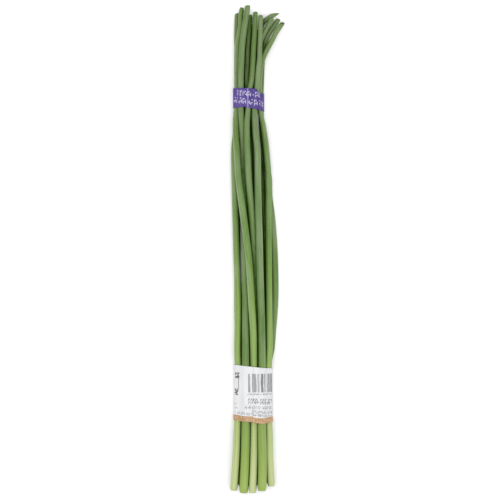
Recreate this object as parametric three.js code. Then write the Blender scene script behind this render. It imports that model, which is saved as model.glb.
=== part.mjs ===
// A bunch of garlic sprouts, the cut flower stalks of garlic, lying on a table.
// Thirteen stalks lie side by side in three loose rows. A wide printed label is wrapped
// round them near their butts, and a narrow tape near their tips.
// Lengths are in millimetres. +Y runs from the butts to the tips, and +Z is up.
import * as THREE from "three";
import { mergeVertices } from "three/addons/utils/BufferGeometryUtils.js";

// Driving sizes.
const LABEL = { name: "label_wrap", from: -163.2, to: -109.6, film: 0.6, lean: 1.8 };
const TAPE = { name: "tape_band", from: 133.4, to: 151.8, film: 0.6, lean: 3.6 };
const LABEL_SLANT = -0.092;
const TAPE_DROP = [-2.5, 5.5]; // the tape drops by its lean between these places across
const WRAP_GAP = 0.3; // between a wrap's inner face and the stalks
const WRAP_DIRECTIONS = 48;
const PRESSED_FLAT = 0.3; // what lies this close to the table is flat on it
const TABLE_GAP = 0.15; // between the table and a stalk outside the wraps
const STALK_GAP = 0.34; // between two stalks, centre lines taken as straight from ring to ring
const WRAP_REACH = 10; // how far past its edge a wrap still holds the stalks up

// A stalk's radius at these places along the bunch, before its own girth is applied.
const GIRTH_PLACES = [-229, -164, -108, 0, 90, 132, 153, 197, 222];
const GIRTH_RADII = [3.3, 3.22, 3.15, 3.15, 2.95, 2.44, 2.37, 2.37, 2.25];
// Between these places a stalk takes on the girth of its butt, and of its tip.
const BUTT_GIRTH = [-190, -115];
const TIP_GIRTH = [TAPE.to, 175];
const SIDES = 10;
const STATION_STEP = 8; // between the rings where a stalk bends
const PLAIN_RINGS = 2; // where it is nearly straight, one station in this many gets a ring
const BENDS_FROM = 120; // beyond here every station gets a ring
const CUT_BEVEL = 0.5; // the softened edge of a cut end
const CUT_STEPS = [0, 0.5, 0.7]; // how far a cut end's rings stand out: its edge, face and middle

// Each stalk's route, from its butt to its tip, as [along, across, up].
// butt and tip are how much thicker its two ends are, and cut the slope of its tip across and up.
const STALKS = [
  { name: "stalk_01", tint: "yellow", girth: 0.95, butt: 1.08, tip: 1, cut: [0.25, 0.2], route: [
    [-225.6, -19.1, 14.6], [-197, -17, 15.2], [-171, -15.8, 15.4], [-160, -15.5, 15.4],
    [-112, -14.7, 15.4], [-98, -15.5, 15], [-47, -15.1, 11], [-9, -16.2, 9.8], [28, -17.2, 9.6],
    [66, -18.2, 9.2], [94, -18.5, 8.9], [113, -16.7, 8.5], [132, -12.8, 7.7], [143, -12.6, 7.6],
    [152, -12.6, 7.6], [179, -14.8, 7.4], [197, -15.8, 7.2], [209, -15.6, 7.1],
    [221.7, -15.3, 7.1]] },
  { name: "stalk_02", tint: "blue", girth: 1.05, butt: 1.2, tip: 1.1, cut: [0.15, 0.1], route: [
    [-227.7, -9.7, 15.6], [-197, -8.2, 15.8], [-164, -7.5, 16.8], [-108, -7, 16.8],
    [-75, -6.5, 13], [-47, -5.8, 10.4], [-9, -6, 9], [28, -5.7, 8], [66, -6.9, 7.6],
    [94, -8.5, 8.4], [113, -10.7, 10.2], [132, -12.4, 13.6], [143, -12.6, 14.4],
    [152, -12.6, 14.4], [179, -12.4, 12.8], [197, -11.3, 12.3], [216, -8.6, 12],
    [228.2, -6.8, 11.8]] },
  { name: "stalk_03", tint: "yellow", girth: 1.01, butt: 1.04, tip: 0.98, cut: [0, 0.1], route: [
    [-227.5, -0.9, 15.6], [-197, 0.4, 15.6], [-164, 0.7, 15.2], [-108, -0.1, 15.2],
    [-75, -0.8, 15.6], [-47, -2.5, 15.6], [-9, -4.7, 15.7], [28, -8.5, 15.9], [66, -12.2, 15.4],
    [94, -12.8, 14.8], [113, -12.8, 13], [132, -11.8, 11.2], [143, -12, 10.9], [152, -12.2, 10.9],
    [179, -12.6, 11.8], [193, -12.7, 12.6], [209, -10.3, 12.8], [220, -10.2, 12.6],
    [226.6, -9.2, 12.4]] },
  { name: "stalk_04", tint: "blue", girth: 1.02, butt: 1.2, tip: 0.96, cut: [0, 0.15], route: [
    [-225.5, 8, 15.6], [-197, 8.5, 15.6], [-164, 7.5, 16.8], [-108, 7.8, 16.8], [-75, 7.2, 15.6],
    [-47, 6.1, 15.6], [-9, 4.6, 15.6], [28, 3.6, 15.4], [66, 3.1, 15], [94, 2.9, 14.4],
    [113, 0.9, 13.9], [132, 0.3, 13.2], [143, 1.4, 12.7], [152, 2.7, 12.7], [160, 3.1, 12.8],
    [169, 4, 12.9], [179, 5.3, 12.7], [188, 5.5, 12.4], [197, 5.9, 12], [219.4, 6.5, 11.8]] },
  { name: "stalk_05", tint: "yellow", girth: 0.93, butt: 1.12, tip: 1.03, cut: [0.4, -0.85], route: [
    [-221.7, 13.6, 14.6], [-197, 12.1, 15.2], [-171, 11.9, 15.4], [-160, 11.6, 15.4],
    [-112, 12.2, 15.4], [-98, 13.3, 15], [-47, 13.7, 11], [28, 13.5, 9.8], [66, 13.5, 10],
    [94, 11.5, 10], [113, 9.2, 9.6], [132, 5.6, 9], [152, 5.4, 8.8], [160, 5.4, 9],
    [169, 6.1, 9.6], [179, 8.1, 10], [188, 12.1, 10], [197, 16.9, 9.8], [202.6, 19.4, 9.6],
    [207.2, 22.9, 9.4], [212.7, 26.4, 9]] },
  { name: "stalk_06", tint: "green", girth: 1, butt: 0.98, tip: 1, cut: [0, 0.1], route: [
    [-221, 4.4, 9.7], [-197, 4, 9.8], [-164, 3.2, 9.8], [-108, 3.2, 9.8], [-75, 2.6, 10],
    [-47, 2.2, 10.6], [-9, 2.2, 11.6], [28, -0.9, 13], [66, -5.4, 14.6], [94, -7.6, 14.9],
    [113, -8.8, 14.4], [132, -7.4, 13.5], [143, -6.5, 13.4], [152, -5.5, 13.3], [160, -3.6, 13],
    [197, -0.9, 12.3], [222.5, 0.5, 12]] },
  { name: "stalk_07", tint: "green", girth: 0.95, butt: 1, tip: 1, cut: [0, 0], route: [
    [-222, -4.4, 9.7], [-164, -4, 9.8], [-108, -4, 9.8], [-47, -3.8, 9.4], [-9, -3.8, 9],
    [28, -4.6, 9], [94, -6.2, 9.2], [132, -7.4, 8.1], [152, -7.2, 8.1], [160, -7.5, 8.2],
    [197, -6, 8.8], [220.4, -4.1, 8.8]] },
  { name: "stalk_08", tint: "green", girth: 1, butt: 1, tip: 0.95, cut: [0.2, 0], route: [
    [-220, 14.6, 3.7], [-164, 12.8, 4.1], [-110, 12.8, 4.1], [-98, 15.4, 3.6], [-75, 17.3, 3.4],
    [-47, 19.1, 3.4], [-9, 18.2, 3.4], [28, 15.1, 3.4], [48, 11.9, 3.4], [66, 11.3, 3.3],
    [94, 7.7, 3.3], [113, 6, 3.3], [132, 5.3, 3.4], [152, 5.8, 3.4], [169, 6.7, 4],
    [179, 7.4, 4.6], [187.5, 8.5, 4.6], [197, 10.9, 4.5], [202.6, 13, 4.4], [207.2, 15.6, 4.4],
    [212, 19.8, 4.4], [217.1, 22.5, 4.4]] },
  { name: "stalk_09", tint: "blue", girth: 0.96, butt: 1, tip: 1.02, cut: [0.1, 0], route: [
    [-219, 11.4, 9.7], [-164, 9.7, 9.8], [-108, 9.7, 9.8], [-75, 8, 6.8], [-47, 5.2, 3.8],
    [-9, 3.8, 3.4], [28, 2.8, 3.6], [66, 0.4, 5.4], [94, -0.8, 7.4], [113, -1.6, 8.2],
    [132, -2, 8.1], [152, -1.5, 8.1], [170, 0.1, 7.6], [187, 4.2, 7.6], [196, 5.2, 7.8],
    [203, 8.4, 7.9], [208.4, 11.3, 7.9], [212.5, 13.4, 7.9], [217.2, 16.4, 7.8]] },
  { name: "stalk_10", tint: "green", girth: 0.93, butt: 1, tip: 1.02, cut: [1.5, -0.5], route: [
    [-217, 5.6, 3.7], [-164, 3.6, 4.1], [-108, 3.6, 4.1], [-75, 8, 3.6], [-47, 11.8, 3.4],
    [28, 10, 3.4], [66, 9.6, 3.2], [94, 5.4, 3.2], [113, 1.8, 3.2], [132, 0, 3.4], [152, 0, 3.4],
    [170, 0.6, 3], [188, 2, 2.8], [201.2, 4.3, 2.7], [209.6, 6.6, 2.6], [214.4, 9, 2.6],
    [218.2, 13.6, 2.6], [222.9, 20.5, 2.6]] },
  { name: "stalk_11", tint: "green", girth: 0.93, butt: 1, tip: 1, cut: [0, 0], route: [
    [-221, -15.4, 3.7], [-164, -13.9, 4.1], [-108, -13.9, 4.1], [-47, -15, 3.4], [28, -15.6, 3.3],
    [66, -16, 3.3], [94, -16.4, 3.3], [113, -16.4, 3.2], [132, -15.8, 3.4], [152, -15.7, 3.4],
    [197, -15.2, 3], [214, -14.4, 2.8]] },
  { name: "stalk_12", tint: "blue", girth: 0.92, butt: 1, tip: 1, cut: [0, 0], route: [
    [-222, -11.9, 9.7], [-164, -10.8, 9.8], [-108, -10.8, 9.7], [-75, -11, 7], [-47, -9.4, 4],
    [-9, -8.6, 3.3], [28, -8.4, 3.3], [66, -8.2, 3.3], [94, -9, 3.3], [113, -10, 3.3],
    [132, -10.5, 3.3], [152, -10.5, 3.4], [190, -9.8, 3], [207, -9, 2.8]] },
  { name: "stalk_13", tint: "yellow", girth: 0.94, butt: 1, tip: 1, cut: [0, 0], route: [
    [-218, -7, 3.7], [-164, -5.6, 4.1], [-108, -5.6, 4.1], [-75, -4, 3.6], [-47, -3, 3.4],
    [-9, -2.2, 3.3], [28, -2, 3.3], [66, -2.2, 3.3], [94, -3.6, 3.3], [113, -4.8, 3.3],
    [132, -5.3, 3.3], [152, -5.3, 3.4], [195, -4.4, 3], [212, -3.4, 2.8]] },
];

// How the stalks settle against each other.
const ROUNDS = 900;
const LAST_ROUNDS = 300; // at the end they are only pushed apart
const SINK = 0.003; // how far a stalk sinks in one round
const STIFFNESS = 0.35; // how much a push spreads along the stalk
const HOLD_ACROSS = 0.06; // how strongly a stalk keeps its drawn place, side to side
const HOLD_UP = 0.012;

const COLOURS = {
  green: new THREE.Color(0.27, 0.4, 0.14),
  blue: new THREE.Color(0.25, 0.38, 0.18),
  yellow: new THREE.Color(0.38, 0.5, 0.17),
};

const material = (color, roughness) => new THREE.MeshStandardMaterial({ color, roughness, metalness: 0 });

// The value at a place, on a smooth line through known places and values.
function smoothThrough(places, values, place) {
  const last = places.length - 1;
  const at = THREE.MathUtils.clamp(place, places[0], places[last]);
  let i = 0;
  while (i < last - 1 && at > places[i + 1]) i += 1;
  const slope = (j) => {
    const before = Math.max(j - 1, 0);
    const after = Math.min(j + 1, last);
    return (values[after] - values[before]) / (places[after] - places[before]);
  };
  const span = places[i + 1] - places[i];
  const t = (at - places[i]) / span;
  const [t2, t3] = [t * t, t * t * t];
  return (2 * t3 - 3 * t2 + 1) * values[i] + (t3 - 2 * t2 + t) * span * slope(i)
    + (3 * t2 - 2 * t3) * values[i + 1] + (t3 - t2) * span * slope(i + 1);
}

function radiusAt(stalk, along) {
  const toButt = 1 - THREE.MathUtils.smoothstep(along, ...BUTT_GIRTH);
  const toTip = THREE.MathUtils.smoothstep(along, ...TIP_GIRTH);
  return stalk.girth * smoothThrough(GIRTH_PLACES, GIRTH_RADII, along)
    * THREE.MathUtils.lerp(1, stalk.butt, toButt) * THREE.MathUtils.lerp(1, stalk.tip, toTip);
}

const nearWrap = (wrap, along) => along > wrap.from - WRAP_REACH && along < wrap.to + WRAP_REACH;

// The lowest that a stalk's centre line can lie at a place along the bunch.
function lowest(stalk, along) {
  const wrap = [LABEL, TAPE].find((w) => nearWrap(w, along));
  return radiusAt(stalk, along) + (wrap ? wrap.film + WRAP_GAP : TABLE_GAP);
}

// The drawn route as points at even steps along the bunch.
function layOut(stalk) {
  const [places, across, up] = [0, 1, 2].map((n) => stalk.route.map((point) => point[n]));
  const [butt, tip] = [places[0], places[places.length - 1]];
  const steps = Math.round((tip - butt) / STATION_STEP);
  stalk.drawn = Array.from({ length: steps + 1 }, (_, i) => {
    const along = THREE.MathUtils.lerp(butt, tip, i / steps);
    const height = Math.max(smoothThrough(places, up, along), lowest(stalk, along));
    return new THREE.Vector3(smoothThrough(places, across, along), along, height);
  });
  stalk.line = stalk.drawn.map((p) => p.clone());
  stalk.radii = stalk.drawn.map((p) => radiusAt(stalk, p.y));
}

// Pushes one point of a stalk and the nearest stretch of another apart.
const stretch = new THREE.Line3();
const nearest = new THREE.Vector3();
const apart = new THREE.Vector3();
function pushApart(one, i, other) {
  const point = one.line[i];
  let closest = Infinity;
  let at = 0;
  for (let j = 0; j < other.line.length - 1; j += 1) {
    if (Math.abs(other.line[j].y - point.y) > 2 * STATION_STEP) continue;
    stretch.set(other.line[j], other.line[j + 1]);
    stretch.closestPointToPoint(point, true, nearest);
    const distance = nearest.distanceTo(point);
    if (distance < closest) {
      closest = distance;
      at = j;
      apart.subVectors(point, nearest);
    }
  }
  const wanted = one.radii[i] + other.radii[at] + STALK_GAP;
  if (closest >= wanted) return;
  apart.y = 0;
  apart.setLength((wanted - closest) / 2);
  point.add(apart);
  other.line[at].sub(apart);
  other.line[at + 1].sub(apart);
}

// Lets the stalks sink and pushes apart those that touch, until they lie on each other.
function settle(stalks) {
  for (let round = 0; round < ROUNDS; round += 1) {
    const resting = round >= ROUNDS - LAST_ROUNDS;
    for (const stalk of stalks) {
      const shifts = stalk.line.map((p, i) => p.clone().sub(stalk.drawn[i]));
      stalk.line.forEach((point, i) => {
        const before = shifts[Math.max(i - 1, 0)];
        const after = shifts[Math.min(i + 1, shifts.length - 1)];
        const shift = shifts[i].clone().lerp(before.clone().add(after).multiplyScalar(0.5), STIFFNESS);
        if (!resting) {
          shift.x *= 1 - HOLD_ACROSS;
          shift.z = shift.z * (1 - HOLD_UP) - SINK;
        }
        point.copy(stalk.drawn[i]).add(shift);
      });
    }
    stalks.forEach((one) => stalks.forEach((other) => {
      if (one !== other) one.line.forEach((_, i) => pushApart(one, i, other));
    }));
    for (const stalk of stalks) {
      stalk.line.forEach((p) => {
        p.z = Math.max(p.z, lowest(stalk, p.y));
      });
    }
  }
}

// The points of a stalk's line that get a ring.
function ringPoints(stalk) {
  const last = stalk.line.length - 1;
  return stalk.line.filter((p, i) => i % PLAIN_RINGS === 0 || i === last || p.y > BENDS_FROM);
}

// A straight stalk turned on a lathe, one unit from ring to ring, with two more at each cut end.
function straightStalk(stalk, line) {
  const radii = line.map((p) => radiusAt(stalk, p.y));
  const last = line.length - 1;
  const profile = [
    [0, -2], [radii[0] - CUT_BEVEL, -1],
    ...radii.map((radius, i) => [radius, i]),
    [radii[last] - CUT_BEVEL, last + 1], [0, last + 2],
  ];
  return new THREE.LatheGeometry(profile.map(([radius, level]) => new THREE.Vector2(radius, level)), SIDES);
}

// Moves each vertex of the straight stalk to its place round the bent line.
function bend(geometry, stalk, line) {
  const last = line.length - 1;
  const up = new THREE.Vector3(0, 0, 1);
  const position = geometry.getAttribute("position");
  for (let v = 0; v < position.count; v += 1) {
    const level = Math.round(position.getY(v));
    const i = THREE.MathUtils.clamp(level, 0, last);
    const [behind, next] = [line[Math.max(i - 1, 0)], line[Math.min(i + 1, last)]];
    const ahead = new THREE.Vector3().subVectors(next, behind).normalize();
    const side = new THREE.Vector3().crossVectors(ahead, up).normalize();
    const over = new THREE.Vector3().crossVectors(side, ahead);
    const [across, rise] = [position.getX(v), position.getZ(v)];
    const place = line[i].clone().addScaledVector(side, across).addScaledVector(over, rise);
    const standsOut = Math.sign(level - i) * CUT_STEPS[Math.abs(level - i)];
    const slope = level >= last ? stalk.cut[0] * across + stalk.cut[1] * rise : 0;
    place.addScaledVector(ahead, standsOut + slope);
    position.setXYZ(v, place.x, place.y, place.z);
  }
  return geometry;
}

function closed(geometry) {
  geometry.deleteAttribute("normal");
  geometry.deleteAttribute("uv");
  const merged = mergeVertices(geometry, 1e-4);
  merged.computeVertexNormals();
  return merged;
}

function makeStalk(stalk) {
  const line = ringPoints(stalk);
  const geometry = closed(bend(straightStalk(stalk, line), stalk, line));
  const mesh = new THREE.Mesh(geometry, material(COLOURS[stalk.tint], 0.55));
  mesh.name = stalk.name;
  return mesh;
}

// The point where a stalk passes a place along the bunch.
function crossing(line, along) {
  const after = line.findIndex((p) => p.y > along);
  const [a, b] = [line[after - 1], line[after]];
  return a.clone().lerp(b, (along - a.y) / (b.y - a.y));
}

// The outline of a film pulled round every stalk, at a distance from them: the outermost
// point in each direction, for all the stretch that the wrap covers.
function wrapOutline(stalks, wrap, distance) {
  const [from, to] = [wrap.from - wrap.lean, wrap.to + wrap.lean];
  const held = stalks.flatMap((stalk) => {
    const line = ringPoints(stalk);
    const inside = line.filter((p) => p.y > from && p.y < to);
    return [crossing(line, from), ...inside, crossing(line, to)].map((p) => ({
      x: p.x, z: p.z, radius: radiusAt(stalk, p.y) }));
  });
  return Array.from({ length: WRAP_DIRECTIONS }, (_, n) => {
    const angle = (2 * Math.PI * (n + 0.5)) / WRAP_DIRECTIONS;
    const [dx, dz] = [Math.cos(angle), Math.sin(angle)];
    const reach = (p) => p.x * dx + p.z * dz + p.radius;
    const outermost = held.reduce((best, p) => (reach(p) > reach(best) ? p : best));
    const out = outermost.radius + distance;
    return [outermost.x + out * dx, outermost.z + out * dz];
  });
}

// A closed ring of film between two outlines, from one edge of the wrap to the other.
function wrapGeometry(wrap, inner, outer, shiftAlong) {
  const count = inner.length;
  const rings = [
    { outline: outer, along: wrap.from }, { outline: outer, along: wrap.to },
    { outline: inner, along: wrap.to }, { outline: inner, along: wrap.from },
  ];
  const vertices = rings.flatMap(({ outline, along }) =>
    outline.flatMap(([x, z]) => [x, along + shiftAlong(x), z]));
  const faces = [];
  rings.forEach((_, r) => {
    const next = (r + 1) % rings.length;
    for (let n = 0; n < count; n += 1) {
      const m = (n + 1) % count;
      const [a, b, c, d] = [r * count + n, r * count + m, next * count + m, next * count + n];
      faces.push(a, d, c, a, c, b);
    }
  });
  const geometry = new THREE.BufferGeometry();
  geometry.setAttribute("position", new THREE.Float32BufferAttribute(vertices, 3));
  geometry.setIndex(faces);
  geometry.computeVertexNormals();
  return geometry;
}

function makeWrap(stalks, wrap, color, roughness, shiftAlong) {
  const inner = wrapOutline(stalks, wrap, WRAP_GAP);
  const outer = wrapOutline(stalks, wrap, WRAP_GAP + wrap.film).map(([x, z]) =>
    [x, z < PRESSED_FLAT ? 0 : z]);
  const mesh = new THREE.Mesh(wrapGeometry(wrap, inner, outer, shiftAlong), material(color, roughness));
  mesh.name = wrap.name;
  return mesh;
}

const labelShift = (x) => LABEL_SLANT * x;
const tapeShift = (x) => -TAPE.lean * THREE.MathUtils.smoothstep(x, ...TAPE_DROP);

STALKS.forEach(layOut);
settle(STALKS);

const bunch = new THREE.Group();
STALKS.forEach((stalk) => bunch.add(makeStalk(stalk)));
bunch.add(makeWrap(STALKS, LABEL, new THREE.Color(0.82, 0.82, 0.83), 0.45, labelShift));
bunch.add(makeWrap(STALKS, TAPE, new THREE.Color(0.13, 0.08, 0.33), 0.35, tapeShift));

// The origin is under the middle of the bunch, on the table.
const box = new THREE.Box3().setFromObject(bunch, true);
const middle = box.getCenter(new THREE.Vector3());
bunch.position.set(-middle.x, -middle.y, -box.min.z);

export default bunch;
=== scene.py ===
"""A bunch of garlic sprouts lying on a table, dressed over its CAD solids.

The stalks are drawn as round, waxy scapes along the centre lines of their solids. A printed
film label is wrapped round them near their butts, and a purple binding tape near their tips.
Everything is in metres: +Y runs from the butts to the tips, and +Z is up.
"""

import math

import bmesh
import bpy
from mathutils import Matrix, Vector, noise


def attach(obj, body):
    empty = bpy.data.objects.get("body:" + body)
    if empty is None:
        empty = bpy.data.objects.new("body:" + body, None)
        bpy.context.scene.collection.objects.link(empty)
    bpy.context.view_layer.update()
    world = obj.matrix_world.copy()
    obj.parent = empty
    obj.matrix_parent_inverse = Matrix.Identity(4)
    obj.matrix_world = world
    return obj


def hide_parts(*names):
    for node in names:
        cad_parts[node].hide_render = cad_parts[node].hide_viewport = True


bl_info = {
    "name": "Bunch of Garlic Sprouts",
    "version": (1, 0, 0),
    "blender": (4, 5, 0),
    "location": "View3D > Sidebar > Garlic",
    "description": "Thirteen garlic stalks lying in a bunch, with a film label and a binding tape",
    "category": "Add Mesh",
}

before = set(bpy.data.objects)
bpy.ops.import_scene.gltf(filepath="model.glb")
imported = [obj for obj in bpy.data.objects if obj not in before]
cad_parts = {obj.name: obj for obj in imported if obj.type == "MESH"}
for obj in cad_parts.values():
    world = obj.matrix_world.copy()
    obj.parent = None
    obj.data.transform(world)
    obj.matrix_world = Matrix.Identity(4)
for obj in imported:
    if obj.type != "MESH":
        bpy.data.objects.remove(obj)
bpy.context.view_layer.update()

MM = 0.001
BODY = "root"
LIT = 1.25  # how much more light falls on the bunch than would make white paper just white
STALKS = {
    "stalk_01": "yellow", "stalk_02": "blue", "stalk_03": "yellow", "stalk_04": "blue",
    "stalk_05": "yellow", "stalk_06": "green", "stalk_07": "green", "stalk_08": "green",
    "stalk_09": "blue", "stalk_10": "green", "stalk_11": "green", "stalk_12": "blue",
    "stalk_13": "yellow",
}
SLOTS = {"yellow": "stalk_yellow_green", "blue": "stalk_blue_green", "green": "stalk_green"}
SHEENS = {"yellow": 0.07, "blue": 0.15, "green": 0.04}

# The stalks with a painted highlight, a pale line along one side for the sheen of their waxy
# bloom at the edge: on which side it lies, and how far out and how wide it is, as shares of the
# stalk's radius.
RIM_HIGHLIGHT_STALKS = {"stalk_01": -1, "stalk_03": -1, "stalk_04": 1, "stalk_05": 1}
RIM_HIGHLIGHT_AT, RIM_HIGHLIGHT_WIDTH = 0.8, 0.2

# A cut end's profile, from its rim to its middle: the share of the radius, and how far it
# stands out from the stalk's last ring, in millimetres.
CUT_PROFILE = [
    (1.0, 0.0), (0.985, 0.22), (0.94, 0.42), (0.86, 0.52), (0.66, 0.5), (0.36, 0.43), (0.0, 0.4),
]
CUT_FACE_FROM = 0.9  # the share of the radius inside which a cut end shows its pith
SKIN = 0.12 * MM  # how much rounder the skin is than the many-sided solid
ROUNDED = 2.2 * MM  # how far from its cut ends a stalk starts to narrow
NARROWING = 0.14  # the share of its radius that it loses there
SLANTED = 4 * MM  # how far from its tip a stalk's rings start to slant as its cut does
OWN_STEP = 0.37  # how far the own number of each stalk is from the last one's

# A solid's vertices with more edges than this are the middles of its two cut ends. Each middle
# and the ring next to it belong to the cut, and don't give the stalk's thickness.
POLE_EDGES = 8
CUT_RINGS = 2

# The directions, across and up, in which a point of a stalk looks for the sky, and how far one
# has to lean out of the skin to count. The skin is painted darker where other stalks hide the
# sky: painted shade.
LEANS_OUT = 0.05
SKY = [(math.cos(turn), math.sin(turn)) for turn in (math.pi * (n + 0.5) / 10 for n in range(10))]

# Where each of a skin's colours gives way to the next, in metres from the butt.
TONE_PLACES = ((0.01, 0.13), (0.15, 0.24), (0.26, 0.40))

# The loose strokes that stand for print, as shares of a step's width and of a row's height.
STROKES = [
    (0.04, 0.26, 0.0, 0.42), (0.04, 0.26, 0.56, 1.0), (0.36, 0.64, 0.82, 1.0),
    (0.36, 0.64, 0.3, 0.48), (0.72, 0.92, 0.1, 0.72),
]
LEFT_OUT = 0.28  # the share of the strokes that is left out

# How far the frame's origin lies from the point that the stalks and wraps are drawn from.
MOVED = Vector((-3.35, -0.27)) * MM

# The edges of the wraps, in millimetres: how far across the bunch, and how far along it. The
# label's end lies over its start from the right, and the tape's from the left, so what lies
# under the end is listed apart.
LABEL_END, TAPE_END = -0.9, 3.8
LABEL_TOP = [
    (-19, -107.9), (-13.6, -108.5), (-5.2, -109.3), (2.4, -110.1), (9.9, -110.8), (18, -111.4),
]
LABEL_FOOT_UNDER = [(-19, -159.8), (-16.5, -160.0), (-9.9, -161.0), (-1, -161.3), (18, -161.5)]
LABEL_FOOT_OVER = [
    (-0.9, -162.2), (2.4, -162.5), (6.1, -162.9), (9.9, -162.8), (13.6, -162.2), (18, -162.0),
]
TAPE_TOP_OVER = [
    (-20, 152.1), (-14, 151.4), (-3, 151.1), (1.8, 150.4), (2.8, 149.9), (3.5, 149.2),
    (3.8, 148.2),
]
TAPE_TOP_UNDER = [(-20, 149.6), (0, 148.6), (3.6, 147.5), (10, 146.9)]
TAPE_FOOT_OVER = [(-20, 132.6), (-9, 133.5), (-4, 133.7), (0.8, 133.0), (3.8, 131.6)]
TAPE_FOOT_UNDER = [(-20, 133.6), (-2, 132.4), (3, 131.4), (7, 130.3), (10, 130.2)]

# Where each wrap starts and ends along the bunch, how far past that its edges can slant, and how
# far across one of its faces is.
LABEL_FROM, LABEL_TO, LABEL_LEAN = -163.2, -109.6, 1.8
TAPE_FROM, TAPE_TO, TAPE_LEAN = 133.4, 151.8, 3.6
LABEL_DETAIL, TAPE_DETAIL = 0.55 * MM, 0.5 * MM
OUTLINE_POINTS = 360
STANDS_OFF = 0.42 * MM  # how far a film's outline stands off the stalks
LIFTS = 1.5  # how far the end of a film lies over its start, in thicknesses of the film
SINKS, SINKS_MOST = 0.45, 0.4 * MM  # the share of a gap's depth that a film sinks into it

# The label's print, as rows of loose strokes: left, right, lower and upper edge and the width
# of a step, all in millimetres, and how far the row drops to the right.
PRINT_ROWS = [
    (-5.5, 16.6, -144.6, -139.4, 2.3, 0.03), (-8.5, 16.6, -149.1, -146.1, 1.45, 0.04),
    (-1.7, 16.6, -153.0, -150.3, 1.4, 0.05), (-17.8, 16.6, -155.7, -153.1, 1.45, 0.1),
    (-6.3, 16.5, -136.1, -134.5, 1.5, 0), (-17.9, -16.2, -145.1, -143.6, 1.2, 0),
    (-17.6, -15.8, -149.0, -147.4, 1.2, 0),
]
SIDE_MARKS = [(-17.5, -13.6, -120.4, -114.6), (-17.9, -14.9, -136.2, -130.2)]
SIDE_LINE = (-14.9, -14.3, -131.0, -119.5)
BARS = (-5.4, 16.7, -133.5, -116.1)
PINCH = (4.6, -126.6)  # the bars lean towards this point, where the film is creased
STRIP_HEIGHT, STRIP_BLUR = 5.35 * MM, 0.15 * MM

# The tape's print: two rows of loose strokes and the width of their steps; and a pale line
# painted between two places across the tape, as the highlight on a crease.
TAPE_ROWS = [(-16, 5.2, 142.9, 147.9, 0.07), (-19, 8.6, 135.2, 140.6, 0.12)]
TAPE_STEP = 3.7
TAPE_CREASE_HIGHLIGHT = (-6.4, -5.2)

# The camera looks straight down from over this point, in the same millimetres.
CAMERA_OVER = Vector((-3.76, -0.47)) * MM
SENSOR_WIDTH = 36
FLOOR_HALF = 3  # half a side of the floor
FLOOR_GLOW = 0.05
SKY_LIGHT = 0.37  # the strength of the even light from all round


def srgb(red, green, blue):
    """The colour of a surface that looks like this on a screen under the stage's lamps."""

    def linear(value):
        value /= 255
        return (value / 12.92 if value <= 0.04045 else ((value + 0.055) / 1.055) ** 2.4) / LIT

    return linear(red), linear(green), linear(blue)


# The colour of the painted highlight along some stalks' edges.
RIM_HIGHLIGHT_COLOUR = srgb(196, 206, 178)
STRIP_DARK = srgb(168, 122, 72)


def colour(name, description, default):
    """A colour property."""
    return bpy.props.FloatVectorProperty(
        name=name, description=description, default=default, size=3, min=0, max=1, subtype="COLOR"
    )


def length(name, description, default):
    """A length property."""
    return bpy.props.FloatProperty(
        name=name, description=description, default=default, min=0, unit="LENGTH", precision=5
    )


class GarlicStalkSettings(bpy.types.PropertyGroup):
    """Sizes and colours of the stalks."""

    sides: bpy.props.IntProperty(
        name="Sides", description="Faces round a stalk", default=28, min=8, max=64
    )
    ring_step: length("Ring Step", "Distance between two rings of a stalk", 2.5 * MM)
    unevenness: bpy.props.FloatProperty(
        name="Unevenness", description="How much a stalk's thickness varies", default=0.022,
        min=0, max=0.2, subtype="FACTOR",
    )
    yellow_butt: colour("Yellow Green, Butt", "Pale lower end", srgb(203, 213, 150))
    yellow_low: colour("Yellow Green, Low", "Above the label", srgb(137, 170, 78))
    yellow_middle: colour("Yellow Green, Middle", "Middle of the stalk", srgb(102, 139, 60))
    yellow_tip: colour("Yellow Green, Tip", "Upper end", srgb(104, 131, 66))
    blue_butt: colour("Blue Green, Butt", "Lower end", srgb(160, 186, 90))
    blue_low: colour("Blue Green, Low", "Above the label", srgb(94, 129, 59))
    blue_middle: colour("Blue Green, Middle", "Middle of the stalk", srgb(103, 134, 74))
    blue_tip: colour("Blue Green, Tip", "Upper end", srgb(108, 134, 80))
    green_butt: colour("Green, Butt", "Lower end", srgb(140, 166, 84))
    green_low: colour("Green, Low", "Above the label", srgb(108, 142, 66))
    green_middle: colour("Green, Middle", "Middle of the stalk", srgb(98, 132, 60))
    green_tip: colour("Green, Tip", "Upper end", srgb(98, 128, 62))
    bloom: colour("Bloom", "Waxy coat on the skin", srgb(172, 188, 154))
    pith: colour("Pith", "Middle of a cut butt", srgb(196, 208, 146))
    tip_pith: colour("Tip Pith", "Middle of a cut tip", srgb(66, 100, 44))


class GarlicLabelSettings(bpy.types.PropertyGroup):
    """Sizes and colours of the film label."""

    film: length("Film", "Thickness of the film", 0.16 * MM)
    overlap: length("Overlap", "How far the film's end lies over its start", 20 * MM)
    paper: colour("Film Colour", "Unprinted film", srgb(232, 233, 235))
    print_colour: colour("Print", "Bars and strokes", srgb(36, 38, 42))
    strip: colour("Strip", "Strip along the lower edge", srgb(190, 149, 99))
    strip_mark: colour("Strip Marks", "Pale marks on the strip", srgb(226, 206, 180))


class GarlicTapeSettings(bpy.types.PropertyGroup):
    """Sizes and colours of the binding tape."""

    film: length("Film", "Thickness of the tape", 0.14 * MM)
    overlap: length("Overlap", "How far the tape's end lies over its start", 12 * MM)
    deep: colour("Deep Violet", "The tape's colour", srgb(72, 50, 134))
    light: colour("Light Violet", "The tape's colour where it is thinner", srgb(98, 78, 154))
    print_colour: colour("Print", "Two rows of pale marks", srgb(222, 218, 240))


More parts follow.
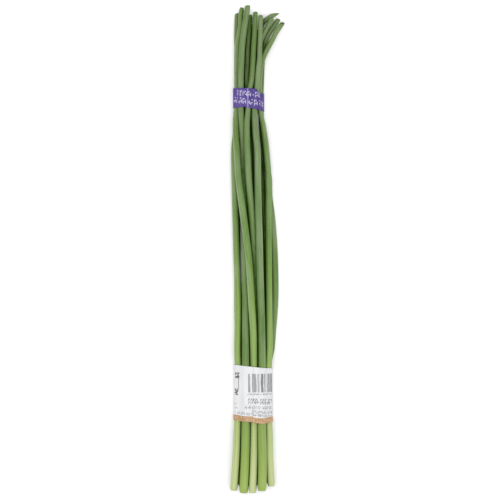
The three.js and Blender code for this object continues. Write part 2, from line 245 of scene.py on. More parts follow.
class GarlicStageSettings(bpy.types.PropertyGroup):
    """Floor, lights and camera."""

    floor_colour: colour("Floor", "The floor's colour", (0.93, 0.93, 0.93))
    side_power: bpy.props.FloatProperty(
        name="Side Lamps", description="Power of each side lamp", default=6.2, min=0, unit="POWER"
    )
    top_power: bpy.props.FloatProperty(
        name="Top Lamp", description="Power of the top lamp", default=25, min=0, unit="POWER"
    )
    camera_height: length("Camera Height", "Height of the camera over the floor", 1.7745)
    focal_length: bpy.props.FloatProperty(
        name="Focal Length", description="Focal length of the lens", default=135, min=10,
        unit="CAMERA",
    )


# Shader nodes.
class Shader:
    """The nodes of one material."""

    def __init__(self, name):
        self.material = bpy.data.materials.new(name)
        self.material.use_nodes = True
        self.tree = self.material.node_tree
        self.surface = self.tree.nodes["Principled BSDF"]

    def feed(self, socket, value):
        """Links a node's output to a socket, or sets the socket to a plain value."""
        if isinstance(value, bpy.types.NodeSocket):
            self.tree.links.new(value, socket)
        elif socket.type == "RGBA" and len(value) == 3:
            socket.default_value = (*value, 1)
        else:
            socket.default_value = value

    def add(self, kind, inputs=(), **settings):
        node = self.tree.nodes.new("ShaderNode" + kind)
        for name, value in settings.items():
            setattr(node, name, value)
        for key, value in dict(inputs).items():
            self.feed(node.inputs[key], value)
        return node

    def math(self, operation, first, second=0.0, third=0.0, clamp=False):
        inputs = {0: first, 1: second, 2: third}
        return self.add("Math", inputs, operation=operation, use_clamp=clamp).outputs[0]

    def scaled(self, value, low, high, to_low=0.0, to_high=1.0, smooth=False):
        """The value, its range from low to high stretched to another range and cut off there."""
        inputs = {"Value": value, "From Min": low, "From Max": high}
        inputs.update({"To Min": to_low, "To Max": to_high})
        kind = "SMOOTHSTEP" if smooth else "LINEAR"
        return self.add("MapRange", inputs, interpolation_type=kind, clamp=True).outputs[0]

    def inside(self, value, low, high):
        """One between low and high, and zero outside."""
        return self.math("COMPARE", value, (low + high) / 2, (high - low) / 2)

    def mix(self, share, first, second, blend="MIX"):
        node = self.add("Mix", data_type="RGBA", blend_type=blend)
        self.feed(node.inputs[0], share)
        self.feed(node.inputs[6], first)
        self.feed(node.inputs[7], second)
        return node.outputs[2]

    def noise(self, vector, scale, detail=2.0, roughness=0.5):
        inputs = {"Vector": vector, "Scale": scale, "Detail": detail, "Roughness": roughness}
        return self.add("TexNoise", inputs).outputs[0]

    def cells(self, vector):
        """A random value for each whole-number cell of a vector."""
        whole = self.add("VectorMath", {0: vector}, operation="FLOOR").outputs[0]
        return self.add("TexWhiteNoise", {"Vector": whole}, noise_dimensions="3D").outputs[0]

    def most(self, first, second):
        """The larger of two values."""
        return self.math("MAXIMUM", first, second)

    def both(self, first, second):
        """Two values multiplied: where both are one, for shares."""
        return self.math("MULTIPLY", first, second)

    def writing(self, u, place, box, step, number):
        """A row of loose strokes in a box, picked at random for each step along it."""
        left, right, foot, top = box
        steps = self.math("MULTIPLY_ADD", u, 1 / step, -left / step)
        spot = self.math("FRACT", steps)
        height = self.math("MULTIPLY_ADD", place, 1 / (top - foot), -foot / (top - foot))
        drawn = 0.0
        for n, (start, end, low, high) in enumerate(STROKES):
            picked = self.cells(self.joined(steps, number + 0.5, n + 0.5))
            stroke = self.both(self.inside(spot, start, end), self.inside(height, low, high))
            stroke = self.both(stroke, self.math("GREATER_THAN", picked, LEFT_OUT))
            drawn = self.most(drawn, stroke)
        rows = self.both(self.inside(u, left, right), self.inside(place, foot, top))
        return self.both(drawn, rows)

    def stretched(self, vector, scale):
        return self.add("Mapping", {"Vector": vector, "Scale": scale}).outputs[0]

    def shifted(self, vector, distance):
        """A vector moved by the same distance all three ways, so that no two stalks are alike."""
        away = self.joined(distance, distance, distance)
        return self.add("VectorMath", {0: vector, 1: away}).outputs[0]

    def unrolled(self, around):
        """A film laid flat: the places across and along it, which repeat on its second turn."""
        u, v, _ = self.parts(self.add("UVMap", uv_map="flat").outputs[0])
        u = self.math("WRAP", u, around / 2, -around / 2)
        return u, v, self.joined(u, v)

    def own(self, name):
        """An attribute of the piece, as its vector and its three parts."""
        vector = self.add("Attribute", attribute_name=name).outputs["Vector"]
        return (vector, *self.parts(vector))

    def parts(self, vector):
        return self.add("SeparateXYZ", {0: vector}).outputs[:3]

    def joined(self, x, y, z=0.0):
        return self.add("CombineXYZ", {0: x, 1: y, 2: z}).outputs[0]

    def bump(self, height, distance, strength):
        inputs = {"Height": height, "Distance": distance, "Strength": strength}
        self.feed(self.surface.inputs["Normal"], self.add("Bump", inputs).outputs[0])

    def set(self, **values):
        """Sets sockets of the surface, whose spaces are written as underscores."""
        for name, value in values.items():
            self.feed(self.surface.inputs[name.replace("_", " ")], value)


def stalk_skin(name, tones, bloom, sheen):
    """Waxy green skin: paler at the butt, streaked lengthwise, bloomed and finely speckled."""
    shader = Shader(name)
    straight, _, _, along = shader.own("straight")
    _, to_tip, own, _ = shader.own("ends")
    _, sky, rim_highlight, _ = shader.own("light")
    shifted = shader.shifted(straight, own)

    streaks = shader.noise(shader.stretched(shifted, (900, 900, 14)), 1, 3, 0.6)
    fibres = shader.noise(shader.stretched(shifted, (2600, 2600, 40)), 1, 2, 0.6)
    patches = shader.noise(shader.stretched(shifted, (160, 160, 28)), 1, 3, 0.55)
    clouds = shader.noise(shader.stretched(shifted, (60, 60, 9)), 1, 2)
    specks = shader.noise(shifted, 1500, 2, 0.6)

    wander = shader.math("MULTIPLY_ADD", clouds, 0.05, -0.025)
    place = shader.math("ADD", along, wander)
    skin = tones[0]
    for tone, (low, high) in zip(tones[1:], TONE_PLACES):
        skin = shader.mix(shader.scaled(place, low, high), skin, tone)

    darker = shader.mix(0.6, skin, (0.55, 0.62, 0.32), "MULTIPLY")
    skin = shader.mix(shader.scaled(streaks, 0.45, 0.72), skin, darker)
    skin = shader.mix(shader.scaled(fibres, 0.52, 0.8, 0, 0.16), skin, (0.48, 0.56, 0.26))
    coat = shader.both(shader.scaled(patches, 0.4, 0.68), shader.scaled(place, 0.05, 0.2, 0.1, 0.3))
    skin = shader.mix(coat, skin, bloom)
    pale_specks = shader.both(
        shader.scaled(specks, 0.58, 0.74), shader.scaled(place, 0.05, 0.16, 0.28, 0.16)
    )
    skin = shader.mix(pale_specks, skin, (0.58, 0.64, 0.4))
    # Painted shade: the skin is darker where the stalks beside it hide the sky.
    deep = shader.mix(1.0, skin, (0.15, 0.26, 0.04), "MULTIPLY")
    skin = shader.mix(shader.scaled(sky, 0.08, 0.52, 1, 0, smooth=True), skin, deep)
    patchy = shader.noise(shader.stretched(shifted, (1, 1, 12)), 1, 2)
    # A painted highlight: a pale line in patches along one edge of some stalks.
    skin = shader.mix(shader.both(rim_highlight, shader.scaled(patchy, 0.38, 0.6, 0.08, 0.5)), skin, RIM_HIGHLIGHT_COLOUR)
    near_cut = shader.scaled(to_tip, -0.0004, 0.0026, 0.6, 0, smooth=True)
    skin = shader.mix(near_cut, skin, (0.09, 0.2, 0.03))

    shader.set(Base_Color=skin, Roughness=shader.scaled(patches, 0.3, 0.7, 0.42, 0.6))
    # The shine and, below, the sheen fade where other stalks hide the sky: painted shade.
    shader.set(Specular_IOR_Level=shader.scaled(sky, 0.2, 0.6, 0, 0.22))
    shader.set(Subsurface_Weight=0.05, Subsurface_Scale=0.0015, Subsurface_Radius=(0.6, 1.0, 0.25))
    shader.set(Sheen_Weight=shader.scaled(sky, 0.3, 0.7, 0, sheen), Sheen_Roughness=0.3)
    relief = shader.math("ADD", streaks, shader.both(specks, 0.25))
    shader.bump(relief, 0.00022, 0.7)
    return shader.material


def cut_pith(name, pith, tip_pith):
    """A cut end: moist pith with darker strands, inside a green rind. It is pale at the butt."""
    shader = Shader(name)
    straight, _, _, _ = shader.own("straight")
    _, to_tip, own, from_middle = shader.own("ends")
    shifted = shader.shifted(straight, own)
    strands = shader.add("TexVoronoi", {"Vector": shifted, "Scale": 2200.0}).outputs["Distance"]
    grain = shader.noise(shifted, 900, 3, 0.6)
    middle = shader.mix(shader.scaled(strands, 0.1, 0.5, 0.45, 0), pith, (0.24, 0.32, 0.1))
    middle = shader.mix(shader.scaled(grain, 0.45, 0.7, 0, 0.35), middle, (0.5, 0.53, 0.32))
    edge = shader.scaled(from_middle, 0.62, 0.86, smooth=True)
    butt_cut = shader.mix(edge, middle, (0.13, 0.21, 0.06))
    tip_cut = shader.mix(shader.scaled(grain, 0.3, 0.7, 0, 0.6), tip_pith, (0.03, 0.07, 0.015))
    face = shader.mix(shader.scaled(to_tip, 0.05, 0.1), tip_cut, butt_cut)
    shader.set(Base_Color=face, Roughness=0.5, Specular_IOR_Level=0.35)
    shader.set(Subsurface_Weight=0.1, Subsurface_Scale=0.001, Subsurface_Radius=(0.7, 1.0, 0.4))
    shader.bump(strands, 0.00025, 0.6)
    return shader.material


# Shapes.
def put_in_scene(name, bm):
    """A new object that holds a finished bmesh."""
    mesh = bpy.data.meshes.new(name)
    bm.to_mesh(mesh)
    bm.free()
    piece = bpy.data.objects.new(name, mesh)
    bpy.context.scene.collection.objects.link(piece)
    return piece


def smooth_through(places, values, place):
    """The value at a place, on a smooth line through known places and values."""
    last = len(places) - 1
    at = min(max(place, places[0]), places[last])
    i = 0
    while i < last - 1 and at > places[i + 1]:
        i += 1

    def slope(j):
        before, after = max(j - 1, 0), min(j + 1, last)
        return (values[after] - values[before]) / (places[after] - places[before])

    span = places[i + 1] - places[i]
    t = (at - places[i]) / span
    t2, t3 = t * t, t * t * t
    return (
        values[i] * (2 * t3 - 3 * t2 + 1) + slope(i) * (span * (t3 - 2 * t2 + t))
        + values[i + 1] * (3 * t2 - 2 * t3) + slope(i + 1) * (span * (t3 - t2))
    )


class Route:
    """A stalk's centre line, from its butt to its tip, as the rings of its solid give it."""

    def __init__(self, node):
        bm = bmesh.new()
        bm.from_mesh(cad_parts[node].data)
        bmesh.ops.remove_doubles(bm, verts=bm.verts, dist=0.02 * MM)
        poles = sorted((v for v in bm.verts if len(v.link_edges) > POLE_EDGES), key=lambda v: v.co.y)
        layer, seen, rings = [poles[0]], {poles[0]}, []
        while layer:
            rings.append([v.co.copy() for v in layer])
            found = []
            for v in layer:
                for e in v.link_edges:
                    other = e.other_vert(v)
                    if other not in seen:
                        seen.add(other)
                        found.append(other)
            layer = found
        bm.free()
        rings = rings[CUT_RINGS:-CUT_RINGS]
        self.centres = [sum(ring, Vector()) / len(ring) for ring in rings]
        self.places = [0.0]
        for a, b in zip(self.centres, self.centres[1:]):
            self.places.append(self.places[-1] + (b - a).length)
        self.length = self.places[-1]
        self.radii = []
        for centre, ring, place in zip(self.centres, rings, self.places):
            ahead = self.ahead(place)
            offsets = [co - centre for co in ring]
            flat = [offset - ahead * offset.dot(ahead) for offset in offsets]
            self.radii.append(sum(f.length for f in flat) / len(flat))
        self.cut = self.slope_of(rings[-1])

    def slope_of(self, ring):
        """How far the tip's ring leans forward for each metre across and up."""
        centre, side, over, ahead = self.at(self.length)
        offsets = [co - centre for co in ring]
        size = sum(o.dot(side) ** 2 for o in offsets)
        across = sum(o.dot(ahead) * o.dot(side) for o in offsets) / size
        rise = sum(o.dot(ahead) * o.dot(over) for o in offsets) / size
        return across, rise

    def point(self, place):
        """The centre at a distance from the butt."""
        return smooth_through(self.places, self.centres, place)

    def radius(self, place):
        return smooth_through(self.places, self.radii, place)

    def ahead(self, place):
        step = 1 * MM
        behind = self.point(max(place - step, 0))
        return (self.point(min(place + step, self.length)) - behind).normalized()

    def at(self, place):
        """The centre and the directions to the side, over and ahead."""
        ahead = self.ahead(place)
        side = ahead.cross(Vector((0, 0, 1))).normalized()
        return self.point(place), side, side.cross(ahead), ahead

    def tabulate(self, step=2 * MM):
        """Keeps where the stalk passes even steps along the bunch."""
        first = math.ceil(self.centres[0].y / step)
        last = math.floor(self.centres[-1].y / step)
        self.passes = {n: self.crossing(n * step) for n in range(first, last + 1)}
        self.step = step

    def crossing(self, along):
        """The centre and radius where the stalk passes a place along the bunch."""
        low, high = 0.0, self.length
        for _ in range(30):
            middle = (low + high) / 2
            if self.point(middle).y < along:
                low = middle
            else:
                high = middle
        return self.point(low), self.radius(low)


def neighbours(route, along):
    """The centres and radii of the other stalks at a place along the bunch."""
    passes = [r.passes.get(round(along / r.step)) for r in ROUTES.values() if r is not route]
    return [(centre.x, centre.z, radius) for centre, radius in filter(None, passes)]


def open_sky(point, out, others):
    """How much of the sky a point of a stalk sees past the stalks beside it."""
    seen = 0
    for dx, dz in SKY:
        if out.x * dx + out.z * dz < LEANS_OUT:
            continue
        for x, z, radius in others:
            ax, az = x - point.x, z - point.z
            if ax * dx + az * dz > 0 and abs(ax * dz - az * dx) < radius:
                break
        else:
            seen += 1
    return seen / len(SKY)


def stands_out(share):
    """How far a cut end stands out at a share of its radius."""
    for (outer, a), (inner, b) in zip(CUT_PROFILE, CUT_PROFILE[1:]):
        if share >= inner:
            return (a + (b - a) * (outer - share) / (outer - inner)) * MM
    return CUT_PROFILE[-1][1] * MM


def straight_stalk(bm, sides, rings):
    """A straight stalk one unit long and thick, with rings along it and round its cut ends."""
    bmesh.ops.create_cone(
        bm, cap_ends=True, segments=sides, radius1=1, radius2=1, depth=1,
        matrix=Matrix.Translation((0, 0, 0.5)),
    )
    caps = [f for f in bm.faces if len(f.verts) == sides]
    long_edges = [e for e in bm.edges if abs(e.verts[0].co.z - e.verts[1].co.z) > 0.5]
    bmesh.ops.subdivide_edges(bm, edges=long_edges, cuts=rings, use_grid_fill=True)
    for cap in caps:
        for (outer, _), (inner, _) in zip(CUT_PROFILE, CUT_PROFILE[1:-1]):
            bmesh.ops.inset_region(bm, faces=[cap], thickness=outer - inner, use_even_offset=True)
        bmesh.ops.poke(bm, faces=[cap])


def make_stalk(name, route, settings, number, rim_highlight_side):
    """A round stalk along its route.

    Three attributes keep what its skin needs: its straightened place; how far its tip is, its own
    number and the share of its radius; and how much sky it sees, for painted shade, and where a
    pale line is painted along it as a highlight.
    """
    bm = bmesh.new()
    straight_stalk(bm, settings.sides, round(route.length / settings.ring_step))
    straight = bm.verts.layers.float_vector.new("straight")
    ends = bm.verts.layers.float_vector.new("ends")
    light = bm.verts.layers.float_vector.new("light")
    own = OWN_STEP * number
    stations = {}
    for v in bm.verts:
        share = min(math.hypot(v.co.x, v.co.y), 1.0)
        level = min(max(v.co.z, 0.0), 1.0)
        key = round(level, 6)
        if key not in stations:
            place = level * route.length
            near = neighbours(route, route.point(place).y)
            stations[key] = (place, route.radius(place), near, *route.at(place))
        place, radius, near, centre, side, over, ahead = stations[key]
        turn = math.atan2(v.co.y, v.co.x)
        lumps = noise.noise(Vector((math.cos(turn), math.sin(turn), place * 22 + own * 9)))
        ribs = math.cos(5 * turn + 3 * own + 4 * place) * 0.35
        radius = (radius + SKIN) * (1 + settings.unevenness * (lumps + ribs - 0.3))
        to_end = max(1 - min(place, route.length - place) / ROUNDED, 0)
        radius *= 1 - NARROWING * to_end**2
        x, y = share * radius * math.cos(turn), share * radius * math.sin(turn)
        out = 0.0
        if share < 0.9999:
            ragged = noise.noise(Vector((x, y, own)) * 900) * 0.08 * MM
            out = stands_out(share) + ragged * (1 - share)
        at_tip = level > 0.5
        slope = 0.0
        fade = (route.length - place) / SLANTED
        if at_tip and fade < 1:
            slope = (route.cut[0] * x + route.cut[1] * y) * (1 - fade)
        out = out if at_tip else -out
        v[straight] = (x, y, place + out)
        v[ends] = (route.length - place - slope, own, share)
        v.co = centre + side * x + over * y + ahead * (slope + out)
        # How much sky the point sees past the other stalks, for the painted shade of its skin.
        seen = open_sky(v.co, side * math.cos(turn) + over * math.sin(turn), near)
        # Where a painted highlight runs along the upper side of one edge.
        from_edge = abs(rim_highlight_side * share * math.cos(turn) - RIM_HIGHLIGHT_AT) / RIM_HIGHLIGHT_WIDTH
        v[light] = (seen, max(1 - from_edge, 0) if y > 0 else 0, 0)
    for f in bm.faces:
        f.smooth = True
        f.material_index = int(all(v[ends].z < CUT_FACE_FROM for v in f.verts))
    bmesh.ops.recalc_face_normals(bm, faces=bm.faces)
    return put_in_scene(name, bm)


class Outline:
    """The closed line of a film pulled round every stalk, between two places along the bunch."""

    def __init__(self, low, high):
        low, high = (place * MM + MOVED.y for place in (low, high))
        held = []
        for route in ROUTES.values():
            spots = [route.crossing(low), route.crossing(high)]
            spots += [(c, r) for c, r in zip(route.centres, route.radii) if low < c.y < high]
            held += [(c.x, c.z, r) for c, r in spots]
        self.held = held
        points = []
        for n in range(OUTLINE_POINTS):
            turn = 2 * math.pi * (n + 0.5) / OUTLINE_POINTS
            dx, dz = math.sin(turn), -math.cos(turn)
            x, z, r = max(held, key=lambda h: h[0] * dx + h[1] * dz + h[2])
            points.append(Vector((x + (r + STANDS_OFF) * dx, z + (r + STANDS_OFF) * dz)))
        points.append(points[0])
        self.points = points
        self.places = [0.0]
        for a, b in zip(points, points[1:]):
            self.places.append(self.places[-1] + (b - a).length)
        self.length = self.places[-1]

    def at(self, place):
        """The point and outward direction at a distance round the outline."""
        wanted = place % self.length
        low, high = 0, len(self.places) - 1
        while high - low > 1:
            middle = (low + high) // 2
            if self.places[middle] <= wanted:
                low = middle
            else:
                high = middle
        a, b = self.points[low], self.points[low + 1]
        t = (wanted - self.places[low]) / (self.places[low + 1] - self.places[low])
        before = self.points[low - 1] if low else self.points[-2]
        after = self.points[low + 2] if low + 2 < len(self.points) else self.points[1]
        along = (b - before).lerp(after - a, t).normalized()
        return a.lerp(b, t), Vector((along.y, -along.x))

    def clearance(self, point):
        """How much further from the nearest stalk a point of the outline is than it has to be."""
        nearest = min(math.hypot(point.x - x, point.y - z) - r for x, z, r in self.held)
        return nearest - STANDS_OFF

    def place_above(self, x):
        """The distance round the outline to its top, above a place across the bunch."""
        for i in range(len(self.points) // 4, 3 * len(self.points) // 4):
            a, b = self.points[i:i + 2]
            if b.x <= x < a.x:
                share = (a.x - x) / (a.x - b.x)
                return self.places[i] + (self.places[i + 1] - self.places[i]) * share
        raise ValueError("nothing of the film lies above this place")


def line_at(line, x):
    """The height of a line of points, in metres, at a place across the bunch."""
    places, heights = zip(*line)
    return smooth_through(places, heights, (x - MOVED.x) / MM) * MM + MOVED.y


class Winding:
    """A film wound round an outline, its end lying over its start at a place on top."""

    def __init__(self, outline, end, overlap, way):
        self.outline = outline
        self.way = way
        self.end = outline.place_above(end * MM + MOVED.x)
        self.middle = outline.place_above(MOVED.x)
        self.length = outline.length + overlap

    def over(self, wound):
        """One on the layer that lies on top, and zero on the one that starts under it."""
        from_end = (self.length - wound) / self.outline.length
        return min(max((0.8 - from_end) / 0.6, 0), 1)

    def place(self, wound):
        """The distance round the outline, once so much of the film is wound."""
        return self.end + self.way * (wound - self.length)

    def spot(self, across):
        """Where a place across the bunch, in millimetres, lies on the film laid flat."""
        return self.middle - self.outline.place_above(across * MM + MOVED.x)

    def box(self, left, right, foot, top):
        """A printed field's edges, given in millimetres, on the film laid flat."""
        return self.spot(left), self.spot(right), foot * MM, top * MM


def wrap_film(name, winding, edges, film, relief, detail):
    """A film wound round the bunch, with its edges and its relief given as functions."""
    outline = winding.outline
    bm = bmesh.new()
    foot, top = edges(0, 0)
    around, across = (round(size / detail) for size in (winding.length, top - foot))
    bmesh.ops.create_grid(
        bm, x_segments=around, y_segments=across, size=0.5, matrix=Matrix.Translation((0.5, 0.5, 0))
    )
    flat = bm.loops.layers.uv.new("flat")
    edge = bm.loops.layers.uv.new("edge")
    laid = {}
    for v in bm.verts:
        wound = v.co.x * winding.length
        place = winding.place(wound)
        point, out = outline.at(place)
        over = winding.over(wound)
        foot, top = edges(point.x, over)
        along = foot + v.co.y * (top - foot)
        laid[v] = (winding.middle - place, along - MOVED.y), (over, along - foot)
        layer = film * LIFTS * max(0.0, min(wound / outline.length, 1.0)) ** 2
        spot = point + out * (layer + relief(winding.middle - place, along, point, outline))
        v.co = Vector((spot.x, along, max(spot.y, film * 0.55 + layer * 0.2)))
    for f in bm.faces:
        f.smooth = True
        for loop in f.loops:
            loop[flat].uv, loop[edge].uv = laid[loop.vert]
    bmesh.ops.recalc_face_normals(bm, faces=bm.faces)
    bmesh.ops.solidify(bm, geom=bm.faces, thickness=film)
    for v in bm.verts:
        v.co.z = max(v.co.z, 0)
    return put_in_scene(name, bm)


def settle_in(piece, node):
    """Puts a finished piece in the place of its solid."""
    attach(piece, BODY)
    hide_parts(node)


ROUTES = {name: Route(name) for name in STALKS}
for stalk_route in ROUTES.values():
    stalk_route.tabulate()


class GARLIC_OT_stalks(bpy.types.Operator):
    """Draw the thirteen stalks over their solids"""

    bl_idname = "garlic.stalks"
    bl_label = "Add Stalks"

    def execute(self, context):
        settings = context.scene.garlic_stalks
        for tint in SLOTS:
            parts = ("butt", "low", "middle", "tip")
            tones = [tuple(getattr(settings, f"{tint}_{part}")) for part in parts]
            stalk_skin(f"skin_{tint}", tones, tuple(settings.bloom), SHEENS[tint])
        cut_pith("cut_pith", tuple(settings.pith), tuple(settings.tip_pith))
        for number, (name, tint) in enumerate(STALKS.items()):
            piece = make_stalk(f"{name}_skin", ROUTES[name], settings, number, RIM_HIGHLIGHT_STALKS.get(name, 0))
            piece.data.materials.append(bpy.data.materials[f"skin_{tint}"])
            piece.data.materials.append(bpy.data.materials["cut_pith"])
            settle_in(piece, name)
        return {"FINISHED"}


def label_edges(x, over):
    """The label's foot and top at a place across the bunch."""
    foot = line_at(LABEL_FOOT_UNDER, x) * (1 - over) + line_at(LABEL_FOOT_OVER, x) * over
    return foot, line_at(LABEL_TOP, x)


def sink(point, outline):
    """How far a film sinks between the stalks at a point of its outline."""
    return min(max(outline.clearance(point), 0) * SINKS, SINKS_MOST)


def label_relief(around, along, point, outline):
    """How far the label's film stands off its outline: it sinks a little between the stalks."""
    ripple = noise.noise(Vector((around * 180, along * 90, 3))) * 0.12 * MM
    fold = noise.noise(Vector((around * 420, along * 60, 8))) * 0.06 * MM
    return ripple + fold - sink(point, outline)


def label_film(settings, winding):
    """White film with a field of bars, rows of strokes and a brown strip along its foot."""
    shader = Shader("label_print")
    u, v, uv = shader.unrolled(winding.outline.length)
    ripple = shader.noise(shader.stretched(uv, (190, 45, 1)), 1, 2)
    crumple = shader.noise(shader.stretched(uv, (420, 130, 1)), 1, 3, 0.6)
    bent = shader.math("ADD", u, shader.math("MULTIPLY_ADD", crumple, 0.0016, -0.0008))
    shade = shader.scaled(ripple, 0.35, 0.65, 0, 0.3)
    film = shader.mix(shade, tuple(settings.paper), (0.5, 0.51, 0.52))

    def within(edges):
        left, right, foot, top = winding.box(*edges)
        return shader.both(shader.inside(u, left, right), shader.inside(v, foot, top))

    printed = 0.0
    for number, (left, right, foot, top, step, drop) in enumerate(PRINT_ROWS):
        place = shader.math("MULTIPLY_ADD", u, drop, v)
        row = shader.writing(bent, place, winding.box(left, right, foot, top), step * MM, number)
        printed = shader.most(printed, row)
    for number, edges in enumerate(SIDE_MARKS):
        grid = shader.joined(shader.both(bent, 1050), shader.both(v, 1250), number + 0.5)
        cells = shader.cells(grid)
        ink = shader.both(shader.math("GREATER_THAN", cells, 0.4), within(edges))
        printed = shader.most(printed, ink)
    printed = shader.most(printed, shader.both(within(SIDE_LINE), 0.8))

    beside = shader.math("SUBTRACT", u, winding.spot(PINCH[0]))
    above = shader.math("SUBTRACT", v, PINCH[1] * MM)
    near_beside = shader.scaled(shader.math("ABSOLUTE", beside), 0, 0.005, 0.35, 0)
    near_above = shader.scaled(shader.math("ABSOLUTE", above), 0, 0.008, 1, 0)
    pulled = shader.both(beside, shader.both(near_beside, near_above))
    leaned = shader.math("ADD", bent, pulled)
    leaned = shader.math("ADD", leaned, shader.math("MULTIPLY_ADD", v, 0.03, 0.004))
    bars = shader.cells(shader.joined(shader.both(leaned, 1450), 0.5, 2.5))
    groups = shader.cells(shader.joined(shader.both(leaned, 330), 0.5, 8.5))
    ink = shader.both(shader.scaled(bars, 0.4, 0.6), shader.scaled(groups, 0.1, 0.9, 0.5, 1.0))
    printed = shader.most(printed, shader.both(ink, within(BARS)))
    film = shader.mix(shader.both(printed, 0.9), film, tuple(settings.print_colour))

    leaves = shader.noise(shader.stretched(uv, (420, 420, 1)), 1, 2, 0.7)
    veins = shader.inside(leaves, 0.475, 0.52)
    tone = shader.noise(shader.stretched(uv, (90, 200, 1)), 1, 2)
    strip = shader.mix(shader.scaled(tone, 0.35, 0.65, 0, 0.6), tuple(settings.strip), STRIP_DARK)
    strip = shader.mix(shader.both(veins, 0.8), strip, tuple(settings.strip_mark))
    from_foot = shader.parts(shader.add("UVMap", uv_map="edge").outputs[0])[1]
    low, high = STRIP_HEIGHT - STRIP_BLUR, STRIP_HEIGHT + STRIP_BLUR
    film = shader.mix(shader.scaled(from_foot, low, high, 1, 0), film, strip)
    shader.set(Base_Color=film, Roughness=0.45, Specular_IOR_Level=0.35)
    shader.bump(shader.math("MULTIPLY_ADD", crumple, 0.4, ripple), 0.0005, 0.6)
    return shader.material


class GARLIC_OT_label(bpy.types.Operator):
    """Wrap the printed film label round the stalks near their butts"""

    bl_idname = "garlic.label"
    bl_label = "Add Label"

    def execute(self, context):
        settings = context.scene.garlic_label
        outline = Outline(LABEL_FROM - LABEL_LEAN, LABEL_TO + LABEL_LEAN)
        winding = Winding(outline, LABEL_END, settings.overlap, 1)
        piece = wrap_film("label_film", winding, label_edges, settings.film, label_relief, LABEL_DETAIL)
        piece.data.materials.append(label_film(settings, winding))
        settle_in(piece, "label_wrap")
        return {"FINISHED"}


def tape_edges(x, over):
    """The tape's foot and top at a place across the bunch."""
    foot = line_at(TAPE_FOOT_UNDER, x) * (1 - over) + line_at(TAPE_FOOT_OVER, x) * over
    top = line_at(TAPE_TOP_UNDER, x) * (1 - over) + line_at(TAPE_TOP_OVER, x) * over
    return foot, top


def tape_relief(around, along, point, outline):
    """How far the tape stands off its outline: it sinks a little between the stalks."""
    ripple = noise.noise(Vector((around * 260, along * 120, 5))) * 0.08 * MM
    return ripple - sink(point, outline)


def tape_film(settings, winding):
    """Glossy violet film with two rows of pale strokes."""
    shader = Shader("tape_print")
    u, v, uv = shader.unrolled(winding.outline.length)
    cloud = shader.noise(shader.stretched(uv, (120, 70, 1)), 1, 2)
    creases = shader.noise(shader.stretched(uv, (520, 40, 1)), 1, 2)
    lighter = shader.scaled(u, -0.018, 0.006, 0.2, -0.25)
    share = shader.math("ADD", shader.scaled(cloud, 0.35, 0.65, 0, 0.6), lighter, clamp=True)
    film = shader.mix(share, tuple(settings.deep), tuple(settings.light))
    film = shader.mix(shader.scaled(creases, 0.6, 0.72, 0, 0.25), film, (0.2, 0.15, 0.36))
    # A painted highlight: a pale line where the tape is creased.
    crease_highlight = shader.inside(u, *(winding.spot(across) for across in TAPE_CREASE_HIGHLIGHT))
    film = shader.mix(shader.both(crease_highlight, 0.3), film, tuple(settings.print_colour))
    printed = 0.0
    for number, (left, right, foot, top, drop) in enumerate(TAPE_ROWS):
        place = shader.math("MULTIPLY_ADD", u, drop, v)
        box = winding.box(left, right, foot, top)
        row = shader.writing(u, place, box, TAPE_STEP * MM, number)
        printed = shader.most(printed, row)
    film = shader.mix(shader.both(printed, 0.78), film, tuple(settings.print_colour))
    shader.set(Base_Color=film, Roughness=0.42, Specular_IOR_Level=0.3)
    shader.bump(shader.math("ADD", cloud, creases), 0.0004, 0.4)
    return shader.material


class GARLIC_OT_tape(bpy.types.Operator):
    """Wrap the binding tape round the stalks near their tips"""

    bl_idname = "garlic.tape"
    bl_label = "Add Tape"

    def execute(self, context):
        settings = context.scene.garlic_tape
        outline = Outline(TAPE_FROM - TAPE_LEAN, TAPE_TO + TAPE_LEAN)
        winding = Winding(outline, TAPE_END, settings.overlap, -1)
        piece = wrap_film("tape_film", winding, tape_edges, settings.film, tape_relief, TAPE_DETAIL)
        piece.data.materials.append(tape_film(settings, winding))
        settle_in(piece, "tape_band")
        return {"FINISHED"}


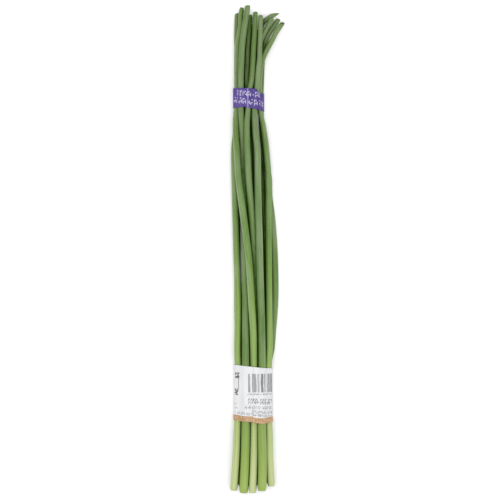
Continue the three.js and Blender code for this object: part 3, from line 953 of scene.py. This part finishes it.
class GARLIC_OT_stage(bpy.types.Operator):
    """Add the floor, the lamps and the camera"""

    bl_idname = "garlic.stage"
    bl_label = "Add Stage"

    def execute(self, context):
        settings = context.scene.garlic_stage
        bm = bmesh.new()
        bmesh.ops.create_grid(bm, x_segments=4, y_segments=4, size=FLOOR_HALF)
        floor = put_in_scene("floor", bm)
        shader = Shader("floor_paper")
        place = shader.add("TexCoord").outputs["Object"]
        grain = shader.noise(place, 300, 2)
        shader.set(Base_Color=shader.mix(grain, tuple(settings.floor_colour), (0.95, 0.95, 0.95)))
        shader.set(Roughness=0.9, Specular_IOR_Level=0.1, Emission_Color=(1, 1, 1))
        shader.set(Emission_Strength=FLOOR_GLOW)
        floor.data.materials.append(shader.material)

        self.add_lamp(context, "left_lamp", (-0.95, 0.1, 0.75), (0.9, 1.3), settings.side_power)
        self.add_lamp(context, "right_lamp", (0.95, -0.1, 0.75), (0.9, 1.3), settings.side_power)
        self.add_lamp(context, "top_lamp", (0, 0, 2.1), (1.1, 1.1), settings.top_power)

        world = context.scene.world or bpy.data.worlds.new("studio")
        context.scene.world = world
        world.use_nodes = True
        background = world.node_tree.nodes["Background"]
        background.inputs["Color"].default_value = (1, 1, 1, 1)
        background.inputs["Strength"].default_value = SKY_LIGHT

        data = bpy.data.cameras.new("camera")
        data.lens = settings.focal_length
        data.sensor_width = SENSOR_WIDTH
        camera = bpy.data.objects.new("camera", data)
        camera.location = (*(CAMERA_OVER + MOVED), settings.camera_height)
        context.scene.collection.objects.link(camera)
        context.scene.camera = camera
        context.scene.view_settings.view_transform = "Standard"
        return {"FINISHED"}

    @staticmethod
    def add_lamp(context, name, place, size, power):
        data = bpy.data.lights.new(name, "AREA")
        data.shape = "RECTANGLE"
        data.size, data.size_y = size
        data.energy = power
        lamp = bpy.data.objects.new(name, data)
        lamp.location = place
        lamp.rotation_euler = (-Vector(place)).to_track_quat("-Z", "Y").to_euler()
        context.scene.collection.objects.link(lamp)


class GARLIC_PT_sidebar(bpy.types.Panel):
    """Lists the pieces of the bunch"""

    bl_label = "Garlic Sprouts"
    bl_idname = "GARLIC_PT_sidebar"
    bl_space_type = "VIEW_3D"
    bl_region_type = "UI"
    bl_category = "Garlic"

    def draw(self, context):
        for step in STEPS:
            self.layout.operator(step.bl_idname)
            group = getattr(context.scene, step.bl_idname.replace(".", "_"))
            for name in group.bl_rna.properties.keys():
                if name not in ("rna_type", "name"):
                    self.layout.prop(group, name)


SETTINGS = {
    "garlic_stalks": GarlicStalkSettings,
    "garlic_label": GarlicLabelSettings,
    "garlic_tape": GarlicTapeSettings,
    "garlic_stage": GarlicStageSettings,
}
STEPS = (GARLIC_OT_stalks, GARLIC_OT_label, GARLIC_OT_tape, GARLIC_OT_stage)


def register():
    for name, group in SETTINGS.items():
        bpy.utils.register_class(group)
        setattr(bpy.types.Scene, name, bpy.props.PointerProperty(type=group))
    for step in (*STEPS, GARLIC_PT_sidebar):
        bpy.utils.register_class(step)


def unregister():
    for step in (GARLIC_PT_sidebar, *reversed(STEPS)):
        bpy.utils.unregister_class(step)
    for name, group in reversed(SETTINGS.items()):
        delattr(bpy.types.Scene, name)
        bpy.utils.unregister_class(group)


def main():
    register()
    bpy.ops.garlic.stage()
    bpy.ops.garlic.stalks()
    bpy.ops.garlic.label()
    bpy.ops.garlic.tape()


if __name__ == "__main__":
    main()
